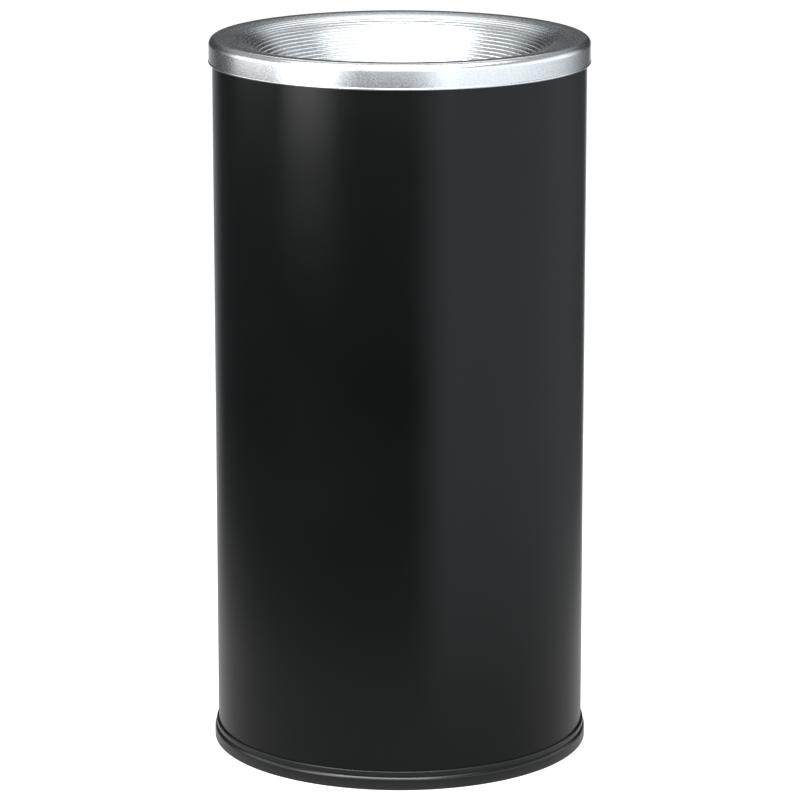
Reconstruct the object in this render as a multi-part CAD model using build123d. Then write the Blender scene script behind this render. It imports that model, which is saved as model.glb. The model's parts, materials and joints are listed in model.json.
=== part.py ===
from build123d import *
import os
from math import acos, degrees, pi, radians, sqrt, tan

# Ash urn: a steel cylinder on a black vinyl foot ring, with a lift-off ribbed funnel top of spun
# aluminium, and inside it a galvanised pail with a wire bail that catches what drops through.
# Millimetres, +Z up. The origin is the middle of the foot, on the floor. The front faces -Y and
# the side seam of the cylinder is at the back, on +Y. The bail swings about a line along X.

# Overall sizes
overall_height = 508.0  # floor to the crest of the funnel top
shell_radius = 131.0  # outside of the steel cylinder

# Cylinder, rolled from one sheet, with its top edge turned in and down
shell_sheet = 0.9
flange_width = 8.0  # from the outside of the cylinder to the inside of the turned-in edge
flange_lip = 4.0  # height of the edge that is turned down
flange_bend = 2.0  # outside radius of the top corner
lip_bend = 1.4  # outside radius where the flange turns down
seam_width = 8.0  # folded seam on the inside, at the back
seam_thickness = 1.8
seam_end_gap = 3.0  # from the ends of the fold to the floor pan and to the flange
seam_line_width = 0.6  # the fine line that the seam leaves on the outside
seam_line_depth = 0.35

# Vinyl foot ring, a channel that the bottom edges of cylinder and floor pan stand in
ring_web = 3.0  # floor to the bottom edge of the cylinder
band_proud = 2.7  # lower band, proud of the cylinder
band_height = 9.2
band_round = 1.1
ring_groove_proud = 0.9  # floor of the groove between the band and the lip
ring_groove_height = 0.6
lip_proud = 1.5  # upper lip, proud of the cylinder
lip_height = 3.5
lip_round = 0.9
ring_leg_width = 2.2  # inner leg of the channel
ring_leg_height = 8.0
ring_foot_round = 0.8

# Floor pan, pressed from one sheet
pan_sheet = 0.9
pan_height = 10.9  # floor to the top of the pan, where the pail stands
pan_bend = 2.0
pan_corner = 1.6
dish_drop = 3.5  # the middle of the pan is pressed down
dish_slope_width = 8.0
dish_edge_inset = 31.0  # from the outside of the pail to the edge of the flat middle
bead_height = 3.5  # raised bead that keeps the pail in the middle
bead_clearance = 2.5  # between the pail and the foot of the bead
bead_side_width = 1.8
bead_top_width = 4.0
drain_hole_radius = 4.0
drain_hole_count = 4
drain_hole_inset = 11.0  # from the outside of the pail to the middles of the holes

# Funnel top, spun from one disc
funnel_sheet = 1.2
skirt_clearance = 1.2  # between the cylinder and the inside of the skirt
skirt_height = 17.7  # crest to the bottom edge of the skirt
skirt_bead_radius = 0.95  # rolled bottom edge
rim_roll = 5.0  # outside radius of the top corner
land_overlap = 0.4  # how far the flat crest reaches in past the flange below it
land_blend = 10.0
lead_angle = 10.0  # first slope inside the crest, below level
lead_width = 16.8  # from the edge of the crest to where lead and cone would meet
shoulder_radius = 28.7
cone_angle = 50.0  # slope of the funnel, below level
throat_radius = 48.0
throat_blend = 8.0
spout_length = 12.0  # below the corner of cone and spout
rib_pitch = 3.0  # along the slope
rib_groove_width = 0.9
rib_groove_depth = 0.45
rib_groove_overshoot = 0.1  # how far the cutting shape stands above the surface
rib_start = 10.6  # along the surface, from the inner edge of the crest
rib_end_gap = 14.0  # smooth length left at the bottom end of the surface

# Soft ring that the funnel top rests on
gasket_height = 1.0
gasket_inset = 0.6  # from the inside of the flange
gasket_roll_gap = 0.4  # from the start of the funnel top's rolled corner

# Bail, bent from one wire
wire_radius = 2.25
bail_clearance = 1.35  # between the bail and the turned-in edge that it is lifted through
bail_elbow = 4.5
bail_headroom = 12.0  # between the upright bail and the spout
bail_rest_gap = 0.65  # between the folded bail and the pail that it hangs against
bail_head_radius = 3.4  # upset end that keeps the wire in the ear
bail_head_length = 2.0
bail_head_gap = 2.0  # between the head and the pail
bail_hole_clearance = 0.08
bail_ear_gap = 0.3  # between the elbow and the outside of the ear

# Pail
pail_sheet = 0.6
pail_bottom_rise = 5.6  # underside of the foot to the top of the bottom disc
pail_foot_lip = 1.8  # how far the foot is turned in under the bottom disc
pail_foot_bend = 0.9
rim_wire_radius = 2.0
rim_wire_rise = 16.0  # middle of the rim wire above the bail's pivots
rim_curl_angle = 250.0
swage_proud = 2.0  # stiffening beads round the pail
swage_side_width = 2.5
swage_top_width = 4.0
swage_corner = 1.2
swage_inset = 75.0  # from the foot to the lower bead, and from the rim to the upper one

# Ears and rivets of the pail
ear_sheet = 1.5
ear_standoff = 6.0  # space between the pail and the raised middle of the ear
ear_height = 20.0
ear_arch_width = 24.0
ear_foot_width = 16.0
ear_hole_margin = 2.0  # metal left between the rivet's head and the edge of the foot
rivet_radius = 2.0
rivet_head_radius = 3.6
rivet_head_height = 1.6
rivet_tail_radius = 3.0
rivet_tail_height = 1.0

# Sizes that follow from the ones above
flange_inner_radius = shell_radius - flange_width
shell_inner_radius = shell_radius - shell_sheet
rim_radius = shell_radius + skirt_clearance + funnel_sheet
land_inner_radius = flange_inner_radius - land_overlap
flange_top = overall_height - funnel_sheet - gasket_height
shoulder_corner_radius = land_inner_radius - lead_width
shoulder_corner_z = overall_height - lead_width * tan(radians(lead_angle))
cone_drop = (shoulder_corner_radius - throat_radius) * tan(radians(cone_angle))
throat_corner_z = shoulder_corner_z - cone_drop
spout_bottom = throat_corner_z - spout_length

bail_outer_radius = flange_inner_radius - bail_clearance
bail_radius = bail_outer_radius - wire_radius
bail_elbow_start = sqrt(bail_radius**2 - 2 * bail_radius * bail_elbow)
pivot_z = spout_bottom - bail_headroom - bail_outer_radius
ear_outer_radius = bail_elbow_start - bail_ear_gap
pail_radius = ear_outer_radius - ear_sheet - ear_standoff
pail_inner_radius = pail_radius - pail_sheet
pail_foot_z = pan_height
bail_droop = degrees(acos((pail_radius + bail_rest_gap + wire_radius) / bail_radius))
rim_wire_z = pivot_z + rim_wire_rise
rivet_arc = ear_arch_width / 2 + ear_foot_width - rivet_head_radius - ear_hole_margin
rivet_angle = degrees(rivet_arc / pail_radius)


def turned(section, angle=360.0):
    """Solid of a section turned about the upright axis, its middle facing +X."""
    return Rot(0, 0, -angle / 2) * Rot(90, 0, 0) * revolve(section, Axis.Y, angle)


def sheet_section(path, thickness, side):
    """Section of sheet metal whose one face follows the path, as radius and height."""
    return make_face(Wire(path.edges()).offset_2d(thickness, side=side))


def rectangle_section(inner, outer, bottom, top):
    return Pos((inner + outer) / 2, (bottom + top) / 2) * Rectangle(outer - inner, top - bottom)


def rounded_section(points, rounds):
    """Closed section through the points, with a fillet at each point that has a radius."""
    section = make_face(Polyline(*points, close=True))
    for point, radius in rounds:
        corner = section.vertices().sort_by_distance((point[0], point[1], 0))[0]
        section = fillet(corner, radius)
    return section


def export(name, shape):
    solids = shape.solids()
    body = solids[0] if len(solids) == 1 else Compound(children=list(solids))
    export_step(body, f"parts/{name}.step")


def body_shell():
    """Rolled cylinder with its turned-in top edge and the folded seam at the back."""
    path = FilletPolyline(
        (shell_radius, ring_web),
        (shell_radius, flange_top),
        (flange_inner_radius, flange_top),
        (flange_inner_radius, flange_top - flange_lip),
        radius=[flange_bend, lip_bend],
    )
    shell = turned(sheet_section(path, shell_sheet, Side.LEFT))
    fold_bottom = pan_height + seam_end_gap
    fold_top = flange_top - flange_bend - seam_end_gap
    fold_inner = shell_inner_radius - seam_thickness
    fold = turned(
        rectangle_section(fold_inner, shell_inner_radius, fold_bottom, fold_top),
        degrees(seam_width / fold_inner),
    )
    line_length = flange_top - flange_bend - ring_web
    line = Pos(shell_radius, 0, ring_web + line_length / 2) * Box(
        2 * seam_line_depth, seam_line_width, line_length
    )
    return Rot(0, 0, 90) * (shell + fold - line)


def base_ring():
    """Vinyl channel with a lower band, a groove and an upper lip on its outside."""
    band = shell_radius + band_proud
    groove = shell_radius + ring_groove_proud
    lip = shell_radius + lip_proud
    groove_top = band_height + ring_groove_height
    ring_top = groove_top + lip_height
    leg_outer = shell_inner_radius - pan_sheet
    leg_inner = leg_outer - ring_leg_width
    points = [
        (leg_inner, 0),
        (band, 0),
        (band, band_height),
        (groove, band_height),
        (groove, groove_top),
        (lip, groove_top),
        (lip, ring_top),
        (shell_radius, ring_top),
        (shell_radius, ring_web),
        (leg_outer, ring_web),
        (leg_outer, ring_leg_height),
        (leg_inner, ring_leg_height),
    ]
    rounds = [
        ((band, 0), ring_foot_round),
        ((band, band_height), band_round),
        ((lip, ring_top), lip_round),
    ]
    return turned(rounded_section(points, rounds))


def base_pan():
    """Pressed floor with a sunk middle, a bead round the pail and a flange turned down."""
    dish_top = pan_height - dish_drop
    dish_edge = pail_radius - dish_edge_inset
    bead_foot = pail_radius + bead_clearance
    bead_top = pan_height + bead_height
    path = FilletPolyline(
        (0, dish_top),
        (dish_edge, dish_top),
        (dish_edge + dish_slope_width, pan_height),
        (bead_foot, pan_height),
        (bead_foot + bead_side_width, bead_top),
        (bead_foot + bead_side_width + bead_top_width, bead_top),
        (bead_foot + 2 * bead_side_width + bead_top_width, pan_height),
        (shell_inner_radius, pan_height),
        (shell_inner_radius, ring_web),
        radius=[pan_corner] * 6 + [pan_bend],
    )
    pan = turned(sheet_section(path, pan_sheet, Side.RIGHT))
    for place in PolarLocations(pail_radius - drain_hole_inset, drain_hole_count, 45):
        pan -= Pos(0, 0, pan_height) * place * Cylinder(drain_hole_radius, 4 * pan_sheet)
    return pan


def seat_gasket():
    inner = flange_inner_radius + gasket_inset
    outer = rim_radius - rim_roll - gasket_roll_gap
    return turned(rectangle_section(inner, outer, flange_top, flange_top + gasket_height))


def funnel_surface():
    """Upper surface of the funnel top from the crest to the spout, as radius and height."""
    return FilletPolyline(
        (rim_radius, overall_height - skirt_height + skirt_bead_radius),
        (rim_radius, overall_height),
        (land_inner_radius, overall_height),
        (shoulder_corner_radius, shoulder_corner_z),
        (throat_radius, throat_corner_z),
        (throat_radius, spout_bottom),
        radius=[rim_roll, land_blend, shoulder_radius, throat_blend],
    )


def rib_groove(surface, distance):
    """V-shaped groove across the surface at a distance along it."""
    middle = surface.position_at(distance, position_mode=PositionMode.LENGTH)
    along = surface.tangent_at(distance, position_mode=PositionMode.LENGTH)
    inward = Vector(-along.Y, along.X)
    half = along * (rib_groove_width / 2)
    lift = inward * rib_groove_overshoot
    bottom = middle + inward * rib_groove_depth
    return make_face(Polyline(middle - half - lift, middle + half - lift, bottom, close=True))


def funnel_top():
    """Spun top: skirt with a rolled edge, flat crest, ribbed funnel and short spout."""
    surface = funnel_surface()
    section = sheet_section(surface, funnel_sheet, Side.LEFT)
    bead_middle = (
        rim_radius - funnel_sheet / 2,
        overall_height - skirt_height + skirt_bead_radius,
    )
    section += Pos(*bead_middle) * Circle(skirt_bead_radius)
    skirt_length = skirt_height - skirt_bead_radius - rim_roll
    land_length = rim_radius - rim_roll - land_inner_radius
    first = skirt_length + rim_roll * pi / 2 + land_length + rib_start
    count = int((surface.length - rib_end_gap - first) // rib_pitch) + 1
    for index in range(count):
        section -= rib_groove(surface, first + index * rib_pitch)
    return turned(section)


def pail_body():
    """Straight pail: foot turned in, two stiffening beads, and a rim curled round a wire."""
    wire_middle = pail_radius + rim_wire_radius
    points = [(pail_radius - pail_foot_lip, pail_foot_z), (pail_radius, pail_foot_z)]
    swage_half = swage_top_width / 2 + swage_side_width
    for middle in (pail_foot_z + swage_inset, rim_wire_z - swage_inset):
        points += [
            (pail_radius, middle - swage_half),
            (pail_radius + swage_proud, middle - swage_top_width / 2),
            (pail_radius + swage_proud, middle + swage_top_width / 2),
            (pail_radius, middle + swage_half),
        ]
    points.append((pail_radius, rim_wire_z))
    wall = FilletPolyline(*points, radius=[pail_foot_bend] + [swage_corner] * 8)
    curl = CenterArc((wire_middle, rim_wire_z), rim_wire_radius, 180, -rim_curl_angle)
    section = sheet_section(Wire(wall.edges() + curl.edges()), pail_sheet, Side.LEFT)
    return turned(section) - rivet_holes()


def pail_bottom():
    path = FilletPolyline(
        (0, pail_foot_z + pail_bottom_rise),
        (pail_inner_radius, pail_foot_z + pail_bottom_rise),
        (pail_inner_radius, pail_foot_z + pail_foot_bend),
        radius=pail_foot_bend,
    )
    return turned(sheet_section(path, pail_sheet, Side.RIGHT))


def pail_rim_wire():
    return turned(Pos(pail_radius + rim_wire_radius, rim_wire_z) * Circle(rim_wire_radius))


def rivet_places():
    """Where the four rivets pass through the pail, each with its X axis pointing outwards."""
    angles = (-rivet_angle, rivet_angle, 180 - rivet_angle, 180 + rivet_angle)
    return [Pos(0, 0, pivot_z) * Rot(0, 0, angle) * Pos(pail_radius, 0, 0) for angle in angles]


def rivet_holes():
    hole = Rot(0, 90, 0) * Cylinder(rivet_radius, 4 * (ear_sheet + pail_sheet))
    return [place * hole for place in rivet_places()]


def pail_ear_rivets():
    """Four rivets, a domed head outside the ear and a flat tail inside the pail."""
    tail_face = sqrt(pail_inner_radius**2 - rivet_tail_radius**2) - pail_radius
    shank = Pos((ear_sheet + tail_face) / 2, 0, 0) * (
        Rot(0, 90, 0) * Cylinder(rivet_radius, ear_sheet - tail_face)
    )
    head = Pos(ear_sheet + rivet_head_height / 2, 0, 0) * (
        Rot(0, 90, 0) * Cone(rivet_head_radius, rivet_radius, rivet_head_height)
    )
    tail = Pos(tail_face - rivet_tail_height / 2, 0, 0) * (
        Rot(0, 90, 0) * Cylinder(rivet_tail_radius, rivet_tail_height)
    )
    rivet = shank + head + tail
    return Compound(children=[place * rivet for place in rivet_places()])


def arc_band(inner, outer, width_start, width_end):
    """Part of a ring on +X, between two distances along the pail's wall from the ear's middle."""
    section = rectangle_section(inner, outer, -ear_height / 2, ear_height / 2)
    start = degrees(width_start / pail_radius)
    end = degrees(width_end / pail_radius)
    return Rot(0, 0, (start + end) / 2) * turned(section, end - start)


def pail_ear(turn):
    """Strap with two curved feet on the pail and a raised middle that holds the bail."""
    arch_half = ear_arch_width / 2
    foot_end = arch_half + ear_foot_width
    ear = arc_band(ear_outer_radius - ear_sheet, ear_outer_radius, -arch_half, arch_half)
    for start, end in ((-foot_end, -arch_half), (arch_half, foot_end)):
        ear += arc_band(pail_radius, pail_radius + ear_sheet, start, end)
    for middle in (-arch_half, arch_half):
        leg = (middle - ear_sheet / 2, middle + ear_sheet / 2)
        ear += arc_band(pail_radius, ear_outer_radius, *leg)
    hole = Cylinder(wire_radius + bail_hole_clearance, 4 * ear_sheet)
    ear -= Pos(ear_outer_radius, 0, 0) * Rot(0, 90, 0) * hole
    return Pos(0, 0, pivot_z) * Rot(0, 0, turn) * ear - rivet_holes()


def bail_handle():
    """Wire bail, folded down in front: half a circle with its ends bent in through the ears."""
    end = pail_radius + bail_head_gap + bail_head_length
    scale = bail_radius / (bail_radius - bail_elbow)
    join = (bail_elbow_start * scale, -bail_elbow * scale)
    shank = Line((end, 0), (bail_elbow_start, 0))
    elbow = TangentArc((bail_elbow_start, 0), join, tangent=(1, 0))
    arc = ThreePointArc(join, (0, -bail_radius), (-join[0], join[1]))
    other_elbow = TangentArc((-bail_elbow_start, 0), (-join[0], join[1]), tangent=(-1, 0))
    other_shank = Line((-end, 0), (-bail_elbow_start, 0))
    path = Wire([piece.edge() for piece in (shank, elbow, arc, other_elbow, other_shank)])
    section = Plane(origin=(end, 0, 0), z_dir=(1, 0, 0)) * Circle(wire_radius)
    bail = sweep(section, path=path)
    for side in (-1, 1):
        head = Rot(0, 90, 0) * Cylinder(bail_head_radius, bail_head_length)
        bail += Pos(side * (end - bail_head_length / 2), 0, 0) * head
    return Pos(0, 0, pivot_z) * Rot(bail_droop, 0, 0) * bail


def main():
    os.makedirs("parts", exist_ok=True)
    export("body_shell", body_shell())
    export("base_ring", base_ring())
    export("base_pan", base_pan())
    export("seat_gasket", seat_gasket())
    export("funnel_top", funnel_top())
    export("pail_body", pail_body())
    export("pail_bottom", pail_bottom())
    export("pail_rim_wire", pail_rim_wire())
    export("pail_ear_rivets", pail_ear_rivets())
    export("pail_ear_right", pail_ear(0))
    export("pail_ear_left", pail_ear(180))
    export("bail_handle", bail_handle())
    print(f"bail pivots at z {pivot_z:.3f}, pail radius {pail_radius:.3f}")
    print(f"spout bottom {spout_bottom:.3f}, bail radius {bail_radius:.3f}")


main()
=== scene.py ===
import json
import math

import bpy
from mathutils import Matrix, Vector


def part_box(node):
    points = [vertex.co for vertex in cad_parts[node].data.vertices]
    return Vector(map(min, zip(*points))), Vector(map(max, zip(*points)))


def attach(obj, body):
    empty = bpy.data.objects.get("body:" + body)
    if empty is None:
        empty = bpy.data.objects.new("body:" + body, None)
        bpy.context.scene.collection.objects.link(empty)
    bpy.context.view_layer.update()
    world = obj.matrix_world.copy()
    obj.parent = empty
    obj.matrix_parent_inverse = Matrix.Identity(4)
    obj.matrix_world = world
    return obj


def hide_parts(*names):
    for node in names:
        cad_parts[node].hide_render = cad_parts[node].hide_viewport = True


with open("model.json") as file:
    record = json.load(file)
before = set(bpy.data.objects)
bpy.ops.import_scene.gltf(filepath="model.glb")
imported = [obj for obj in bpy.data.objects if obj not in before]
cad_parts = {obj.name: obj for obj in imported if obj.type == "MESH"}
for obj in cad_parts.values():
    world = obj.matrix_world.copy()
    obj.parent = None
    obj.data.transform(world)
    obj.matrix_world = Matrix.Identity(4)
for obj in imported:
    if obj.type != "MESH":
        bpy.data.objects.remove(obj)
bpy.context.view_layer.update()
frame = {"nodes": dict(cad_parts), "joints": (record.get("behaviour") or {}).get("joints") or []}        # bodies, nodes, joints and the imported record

mm = 0.001
turnSteps = 192          # faces round the big turned pieces
mergeGap = 0.002         # points closer than this, in mm, are merged
edgeAngle = 35           # degrees; an edge that turns more than this stays sharp
backWindow = 12          # mm to each side of the back's middle, where the seams are cut
noiseLow = 0.3           # nearly all of a noise's values lie between these two
noiseHigh = 0.7


def boxInMm(node):
    low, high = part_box(node)
    return Vector(low) / mm, Vector(high) / mm


# where things are, in mm, read from the frame
pivotHeight = next(j["pos_m"][2] for j in frame["joints"] if j["name"] == "bail_swing") / mm
crestHeight = boxInMm("funnel_top")[1].z
spoutBottom = boxInMm("funnel_top")[0].z
canRadius = -boxInMm("body_shell")[0].y
canBottom = boxInMm("body_shell")[0].z
canTop = boxInMm("body_shell")[1].z
panTop = boxInMm("pail_body")[0].z
rimWireHeight = (boxInMm("pail_rim_wire")[0].z + boxInMm("pail_rim_wire")[1].z) / 2
rimWireOuter = boxInMm("pail_rim_wire")[1].x
bailSpread = boxInMm("bail_handle")[1].x
gasketLow, gasketHigh = boxInMm("seat_gasket")


def say(text):
    print("stage:", text)


def linear(hexColour):
    # the sRGB curve undone, since the shaders take linear colour
    parts = [int(hexColour[i:i + 2], 16) / 255 for i in (1, 3, 5)]
    return tuple(c / 12.92 if c <= 0.04045 else ((c + 0.055) / 1.055) ** 2.4 for c in parts) + (1.0,)


def toneStops(tones):
    return [(place, linear(hexColour)) for place, hexColour in tones]


def greyStops(greys, full=1):
    # full is the grey that is drawn as white
    return [(place, (grey / full, grey / full, grey / full, 1)) for place, grey in greys]


def selectNone():
    bpy.ops.object.select_all(action="DESELECT")


def onlyThis(piece):
    selectNone()
    bpy.context.view_layer.objects.active = piece
    piece.select_set(True)


def objectMode():
    bpy.ops.object.mode_set(mode="OBJECT")


def editMode(piece, kind="VERT", action="DESELECT"):
    onlyThis(piece)
    bpy.ops.object.mode_set(mode="EDIT")
    bpy.ops.mesh.select_mode(type=kind)
    bpy.ops.mesh.select_all(action=action)


def pickFaces(piece, wanted):
    # faces are picked by their middle, in mm, and their normal
    editMode(piece, "FACE")
    objectMode()
    for face in piece.data.polygons:
        face.select = wanted(face.center / mm, face.normal)
    bpy.ops.object.mode_set(mode="EDIT")


def pickEdges(piece, wanted):
    # edges are picked by their two ends, in mm
    editMode(piece, "EDGE")
    objectMode()
    points = [v.co / mm for v in piece.data.vertices]
    for edge in piece.data.edges:
        edge.select = wanted(points[edge.vertices[0]], points[edge.vertices[1]])
    bpy.ops.object.mode_set(mode="EDIT")


def nameIt(piece, name):
    piece.name = name
    piece.data.name = name
    return piece


def smooth(piece, angle):
    onlyThis(piece)
    bpy.ops.object.shade_smooth_by_angle(angle=math.radians(angle))


def applyPlace(piece):
    onlyThis(piece)
    bpy.ops.object.transform_apply(location=True, rotation=True, scale=True)


def applyModifier(piece, kind, **settings):
    onlyThis(piece)
    modifier = piece.modifiers.new(kind.title(), kind)
    for key, value in settings.items():
        setattr(modifier, key, value)
    bpy.ops.object.modifier_apply(modifier=modifier.name)


def joinAll(pieces):
    onlyThis(pieces[0])
    for piece in pieces[1:]:
        piece.select_set(True)
    bpy.ops.object.join()
    return bpy.context.object


def cutAway(piece, cutters):
    # takes the joined cutters away from the piece
    cutter = joinAll(cutters)
    applyModifier(piece, "BOOLEAN", operation="DIFFERENCE", solver="EXACT", object=cutter)
    bpy.data.objects.remove(cutter)


def extrudeBy(x, y, z):
    bpy.ops.mesh.extrude_region_move(TRANSFORM_OT_translate={"value": (x * mm, y * mm, z * mm)})


def cleanUp(piece):
    # closes poles and seams, then turns every face outwards
    editMode(piece, "VERT", "SELECT")
    bpy.ops.mesh.remove_doubles(threshold=mergeGap * mm)
    bpy.ops.mesh.normals_make_consistent(inside=False)
    objectMode()


def drawOutline(name, points):
    # points in mm; a plane merged to one point is extruded from each to the next
    selectNone()
    bpy.ops.mesh.primitive_plane_add(size=mm, location=(0, 0, 0))
    piece = nameIt(bpy.context.object, name)
    editMode(piece, "VERT", "SELECT")
    bpy.ops.mesh.merge(type="CENTER")
    bpy.ops.transform.translate(value=Vector(points[0]) * mm)
    for last, point in zip(points, points[1:]):
        step = (Vector(point) - Vector(last)) * mm
        bpy.ops.mesh.extrude_vertices_move(TRANSFORM_OT_translate={"value": step})
    bpy.ops.mesh.select_all(action="SELECT")
    bpy.ops.mesh.remove_doubles(threshold=mergeGap * mm)
    objectMode()
    return piece


def spinOutline(name, outline, steps=turnSteps, sharpAngle=edgeAngle):
    # outline is (radius, height) in mm, turned about the upright axis
    piece = drawOutline(name, [(r, 0, z) for r, z in outline])
    editMode(piece, "VERT", "SELECT")
    bpy.ops.mesh.spin(steps=steps, angle=math.tau, center=(0, 0, 0), axis=(0, 0, 1))
    objectMode()
    cleanUp(piece)
    smooth(piece, sharpAngle)
    return piece


def finishPiece(piece, material, body, node):
    piece.data.materials.clear()
    piece.data.materials.append(material)
    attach(piece, body)
    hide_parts(node)


def arcPoints(middle, radius, start, end, stepAngle):
    # degrees, anticlockwise when end is larger
    count = max(2, round(abs(end - start) / stepAngle))
    turns = [math.radians(start + (end - start) * i / count) for i in range(count + 1)]
    return [(middle[0] + radius * math.cos(a), middle[1] + radius * math.sin(a)) for a in turns]


def roundedPath(corners, stepAngle):
    # corners are (x, y, radius); a corner with no radius stays sharp
    path = [corners[0][:2]]
    for before, corner, after in zip(corners, corners[1:], corners[2:]):
        here = Vector(corner[:2])
        back = (Vector(before[:2]) - here).normalized()
        ahead = (Vector(after[:2]) - here).normalized()
        turn = math.pi - back.angle(ahead)
        if corner[2] == 0 or turn < 0.001:
            path.append(tuple(here))
            continue
        first = here + back * corner[2] * math.tan(turn / 2)
        middle = here + (back + ahead).normalized() * (corner[2] / math.cos(turn / 2))
        start = math.degrees(math.atan2(first.y - middle.y, first.x - middle.x))
        side = 1 if back.x * ahead.y - back.y * ahead.x < 0 else -1
        path += arcPoints(middle, corner[2], start, start + side * math.degrees(turn), stepAngle)
    path.append(corners[-1][:2])
    return path


def pathLengths(path):
    lengths = [0.0]
    for a, b in zip(path, path[1:]):
        lengths.append(lengths[-1] + math.dist(a, b))
    return lengths


def leftNormals(path):
    result = []
    for i in range(len(path)):
        a, b = path[max(0, i - 1)], path[min(len(path) - 1, i + 1)]
        size = math.dist(a, b)
        result.append((-(b[1] - a[1]) / size, (b[0] - a[0]) / size))
    return result


def shifted(path, distance):
    # the same path, moved to its left
    return [(p[0] + n[0] * distance, p[1] + n[1] * distance) for p, n in zip(path, leftNormals(path))]


def splitEvenly(a, b, count):
    return [(a[0] + (b[0] - a[0]) * i / count, a[1] + (b[1] - a[1]) * i / count)
            for i in range(count + 1)]


def newMaterial(name):
    # also gives the object's own coordinates, which every finish is laid out in
    material = bpy.data.materials.new(name)
    material.use_nodes = True
    tree = material.node_tree
    place = addNode(tree, "TexCoord").outputs["Object"]
    return material, tree, tree.nodes["Principled BSDF"], place


def addNode(tree, kind, settings=None, inputs=None, links=None, stops=None):
    node = tree.nodes.new("ShaderNode" + kind)
    for key, value in (settings or {}).items():
        setattr(node, key, value)
    for key, value in (inputs or {}).items():
        node.inputs[key].default_value = value
    for key, source in (links or {}).items():
        tree.links.new(source, node.inputs[key])
    for index, (place, colour) in enumerate(stops or []):
        stop = node.color_ramp.elements[index] if index < 2 else node.color_ramp.elements.new(place)
        stop.position = place
        stop.color = colour
    return node


def plugIn(tree, shader, sources):
    for socket, node in sources.items():
        tree.links.new(node.outputs[0], shader.inputs[socket])


# sizes and depths in the finishes are in mm; tones are (place on the ramp, colour)
powderCoat = {
    "tones": [(0.35, "#070808"), (0.95, "#0a0b0b")],
    "gloss": 0.28,        # specular level; 0.5 is ordinary plastic
    "smoothest": 0.18,
    "roughest": 0.24,
    "peelSize": 1.6,      # between the dimples of the coat
    "peelDepth": 0.016,
    "peelBump": 0.5,
    "grainSize": 0.5,
    "grainShare": 0.35,   # how much the grain tells in the colour beside the clouds
    "cloudSize": 110.0,
}


def blackPowderCoat():
    # polyester powder baked on steel: near-black satin, with a faint orange peel in the highlights
    material, tree, shader, place = newMaterial("black powder coat")
    peel = addNode(tree, "TexNoise", inputs={
        "Scale": 1 / (powderCoat["peelSize"] * mm), "Detail": 2.0, "Roughness": 0.5}, links={"Vector": place})
    grain = addNode(tree, "TexNoise", inputs={
        "Scale": 1 / (powderCoat["grainSize"] * mm), "Detail": 1.0}, links={"Vector": place})
    cloud = addNode(tree, "TexNoise", inputs={
        "Scale": 1 / (powderCoat["cloudSize"] * mm), "Detail": 3.0}, links={"Vector": place})
    both = addNode(tree, "Math", {"operation": "MULTIPLY_ADD"}, {1: powderCoat["grainShare"]},
                   {0: grain.outputs["Fac"], 2: cloud.outputs["Fac"]})
    colour = addNode(tree, "ValToRGB", links={"Fac": both.outputs["Value"]},
        stops=toneStops(powderCoat["tones"]))
    rough = addNode(tree, "MapRange", inputs={
        "From Min": noiseLow, "From Max": noiseHigh,
        "To Min": powderCoat["smoothest"], "To Max": powderCoat["roughest"]},
        links={"Value": cloud.outputs["Fac"]})
    bump = addNode(tree, "Bump", inputs={
        "Strength": powderCoat["peelBump"], "Distance": powderCoat["peelDepth"] * mm},
        links={"Height": peel.outputs["Fac"]})
    shader.inputs["Specular IOR Level"].default_value = powderCoat["gloss"]
    plugIn(tree, shader, {"Base Color": colour, "Roughness": rough, "Normal": bump})
    return material


spunMetal = {
    "tones": [(0.3, "#d6dadd"), (0.7, "#e9ebec")],
    "smoothest": 0.19,
    "roughest": 0.29,
    "lineGap": 0.4,       # between turning lines; real ones are nearer 0.2
    "lineDepth": 0.009,
    "lineBump": 0.5,
    "grainSize": 1.0,     # the etched grain is finer, and is drawn coarse enough to show
    "grainShare": 4.5,    # how deep the grain is beside the turning lines
}


def spunAluminium():
    # aluminium spun on a lathe and clear anodised: satin white metal with turning lines round the axis
    material, tree, shader, place = newMaterial("spun aluminium")
    apart = addNode(tree, "SeparateXYZ", links={"Vector": place})
    level = addNode(tree, "CombineXYZ", links={"X": apart.outputs["X"], "Y": apart.outputs["Y"]})
    radius = addNode(tree, "VectorMath", {"operation": "LENGTH"}, links={
        0: level.outputs["Vector"]})
    rings = addNode(tree, "CombineXYZ", links={
        "X": radius.outputs["Value"], "Y": apart.outputs["Z"]})
    lines = addNode(tree, "TexNoise", {"noise_dimensions": "2D"}, {
        "Scale": 1 / (spunMetal["lineGap"] * mm), "Detail": 2.0, "Roughness": 0.6},
        {"Vector": rings.outputs["Vector"]})
    grain = addNode(tree, "TexNoise", inputs={
        "Scale": 1 / (spunMetal["grainSize"] * mm), "Detail": 4.0}, links={"Vector": place})
    height = addNode(tree, "Math", {"operation": "MULTIPLY_ADD"}, {1: spunMetal["grainShare"]},
                     {0: grain.outputs["Fac"], 2: lines.outputs["Fac"]})
    colour = addNode(tree, "ValToRGB", links={"Fac": grain.outputs["Fac"]},
        stops=toneStops(spunMetal["tones"]))
    rough = addNode(tree, "MapRange", inputs={
        "From Min": noiseLow, "From Max": noiseHigh,
        "To Min": spunMetal["smoothest"], "To Max": spunMetal["roughest"]},
        links={"Value": grain.outputs["Fac"]})
    bump = addNode(tree, "Bump", inputs={
        "Strength": spunMetal["lineBump"], "Distance": spunMetal["lineDepth"] * mm},
        links={"Height": height.outputs["Value"]})
    shader.inputs["Metallic"].default_value = 1.0
    plugIn(tree, shader, {"Base Color": colour, "Roughness": rough, "Normal": bump})
    return material


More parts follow.
